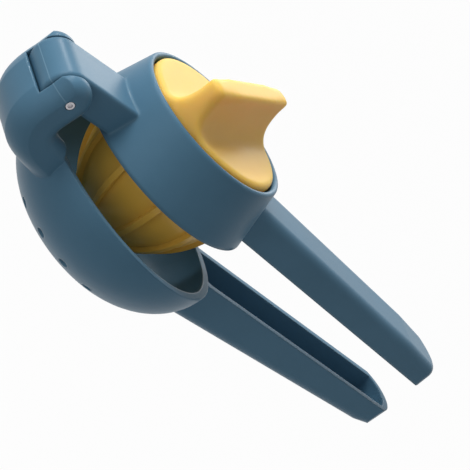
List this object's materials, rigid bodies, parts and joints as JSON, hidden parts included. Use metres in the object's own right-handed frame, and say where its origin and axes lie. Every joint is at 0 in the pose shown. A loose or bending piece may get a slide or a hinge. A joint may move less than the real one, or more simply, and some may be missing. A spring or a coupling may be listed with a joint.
{
  "type": "lemon squeezer",
  "caption": "Hand lemon squeezer: perforated bowl with channel handle, hinged press lever and a turning winged knob that drives a finned reamer.",
  "frame": {"origin": "centre of the bowl's small flat underside", "axes": "+X from the hinge to the handle ends, +Y along the hinge pin, +Z square to the bowl's rim and up"},
  "size_m": [0.1715, 0.0654, 0.0669],
  "materials": {
    "lower_body": "satin",
    "upper_lever": "satin",
    "hinge_pin": "polished",
    "knob": "satin",
    "reamer": "satin",
    "glide_washer": "satin",
    "shaft_seal": "matt",
    "rotor_screw": "satin"
  },
  "bodies": {
    "base": {"lower_body": "lower_body", "hinge_pin": "hinge_pin"},
    "lever": {"upper_lever": "upper_lever", "glide_washer": "glide_washer"},
    "rotor": {"knob": "knob", "reamer": "reamer", "rotor_screw": "rotor_screw", "shaft_seal": "shaft_seal"}
  },
  "joints": [
    {"name": "lever_hinge", "type": "hinge", "parent": "base", "child": "lever", "pos_m": [-0.0434, 0, 0.03425], "axis": [0, -1, 0], "range_deg": [-3.9, 110]},
    {"name": "knob_spin", "type": "hinge", "parent": "lever", "child": "rotor", "pos_m": [-0.00025, 0, 0.03894], "axis": [-0.108, 0, 0.9942], "continuous": true}
  ]
}
